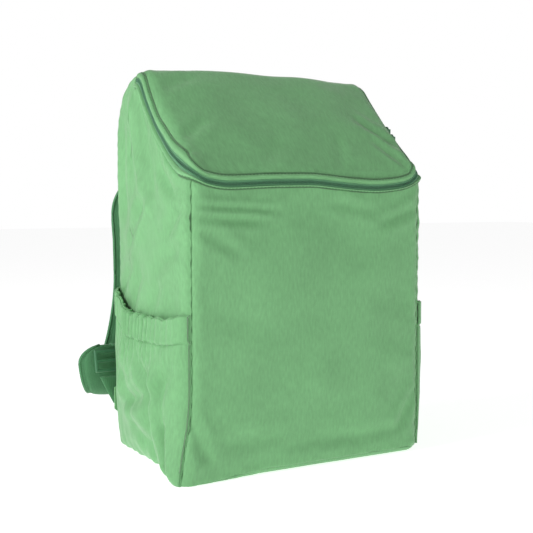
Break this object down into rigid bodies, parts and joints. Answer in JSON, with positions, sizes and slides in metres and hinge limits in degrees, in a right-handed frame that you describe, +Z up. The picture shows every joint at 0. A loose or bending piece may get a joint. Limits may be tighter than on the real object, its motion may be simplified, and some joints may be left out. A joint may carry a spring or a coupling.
{
  "type": "insulated cooler backpack",
  "caption": "Soft insulated cooler worn as a backpack, with a sloping zipped lid, elastic-topped side pockets and padded shoulder straps.",
  "frame": {"origin": "on the floor under the middle of the bag's flat bottom", "axes": "+Z up, -Y towards the front panel, +X towards the bag's right side as seen from the front"},
  "size_m": [0.377, 0.2515, 0.4335],
  "materials": {
    "green_fabric": "close woven polyester with a faint sheen",
    "strap_fabric": "padded polyester and ribbed webbing, darker green",
    "zip_tape": "woven zip tape",
    "zip_coil": "nylon coil",
    "buckle": "moulded acetal, bluish green",
    "zip_metal": "green enamel",
    "foam": "closed-cell foam sheet",
    "liner": "silvery wipe-clean film",
    "board": "plain board"
  },
  "bodies": {
    "root": {"front_panel": "green_fabric", "back_panel": "green_fabric", "bottom_panel": "green_fabric", "left_side_panel": "green_fabric", "right_side_panel": "green_fabric", "body_border": "green_fabric", "zip_tape_body": "zip_tape", "zip_chain_body": "zip_coil", "lid_hinge_tape": "green_fabric", "base_board": "board", "foam_base": "foam", "foam_front": "foam", "foam_back": "foam", "foam_left": "foam", "foam_right": "foam", "liner_tub": "liner", "left_pocket": "green_fabric", "right_pocket": "green_fabric", "left_pocket_hem": "green_fabric", "right_pocket_hem": "green_fabric", "back_pad": "green_fabric", "handle_anchor": "strap_fabric", "left_strap_anchor": "strap_fabric", "right_strap_anchor": "strap_fabric", "left_wing_tab": "green_fabric", "right_wing_tab": "green_fabric", "left_lower_webbing": "strap_fabric", "right_lower_webbing": "strap_fabric"},
    "lid": {"lid_panel": "green_fabric", "lid_border": "green_fabric", "zip_tape_lid": "zip_tape", "zip_chain_lid": "zip_coil", "lid_foam": "foam", "lid_liner": "liner"},
    "slider_upper": {"zip_slider_upper": "zip_metal"},
    "slider_lower": {"zip_slider_lower": "zip_metal"},
    "pull_upper": {"zip_pull_upper": "zip_metal"},
    "pull_lower": {"zip_pull_lower": "zip_metal"},
    "handle": {"grab_handle": "strap_fabric"},
    "left_strap": {"left_shoulder_strap": "strap_fabric"},
    "right_strap": {"right_shoulder_strap": "strap_fabric"},
    "left_lock": {"left_ladder_lock": "buckle"},
    "right_lock": {"right_ladder_lock": "buckle"}
  },
  "joints": [
    {"name": "lid_hinge", "type": "hinge", "parent": "root", "child": "lid", "pos_m": [0, 0.033, 0.4325], "axis": [-1, 0, 0], "range_deg": [0, 165]},
    {"name": "slider_upper_travel", "type": "slide", "parent": "root", "child": "slider_upper", "axis": [0, 0.7222, 0.6916], "range_m": [0, 0.055]},
    {"name": "slider_lower_travel", "type": "slide", "parent": "root", "child": "slider_lower", "axis": [0, -0.7222, -0.6916], "range_m": [0, 0.055]},
    {"name": "pull_upper_swing", "type": "hinge", "parent": "slider_upper", "child": "pull_upper", "pos_m": [0.1538, -0.02117, 0.37263], "axis": [0, -1, 0], "range_deg": [0, 150]},
    {"name": "pull_lower_swing", "type": "hinge", "parent": "slider_lower", "child": "pull_lower", "pos_m": [0.1538, -0.03092, 0.36329], "axis": [0, -1, 0], "range_deg": [0, 150]},
    {"name": "handle_swing", "type": "hinge", "parent": "root", "child": "handle", "pos_m": [0, 0.08592, 0.40855], "axis": [1, 0, 0], "range_deg": [0, 120]},
    {"name": "left_strap_swing", "type": "hinge", "parent": "root", "child": "left_strap", "pos_m": [-0.07, 0.1025, 0.3478], "axis": [1, 0, 0], "range_deg": [0, 30]},
    {"name": "right_strap_swing", "type": "hinge", "parent": "root", "child": "right_strap", "pos_m": [0.07, 0.1025, 0.3478], "axis": [1, 0, 0], "range_deg": [0, 30]},
    {"name": "left_lock_tilt", "type": "hinge", "parent": "left_strap", "child": "left_lock", "pos_m": [-0.156, 0.1105, 0.11273], "axis": [-1, 0, 0], "range_deg": [0, 20]},
    {"name": "right_lock_tilt", "type": "hinge", "parent": "right_strap", "child": "right_lock", "pos_m": [0.156, 0.1105, 0.11273], "axis": [-1, 0, 0], "range_deg": [0, 20]}
  ]
}
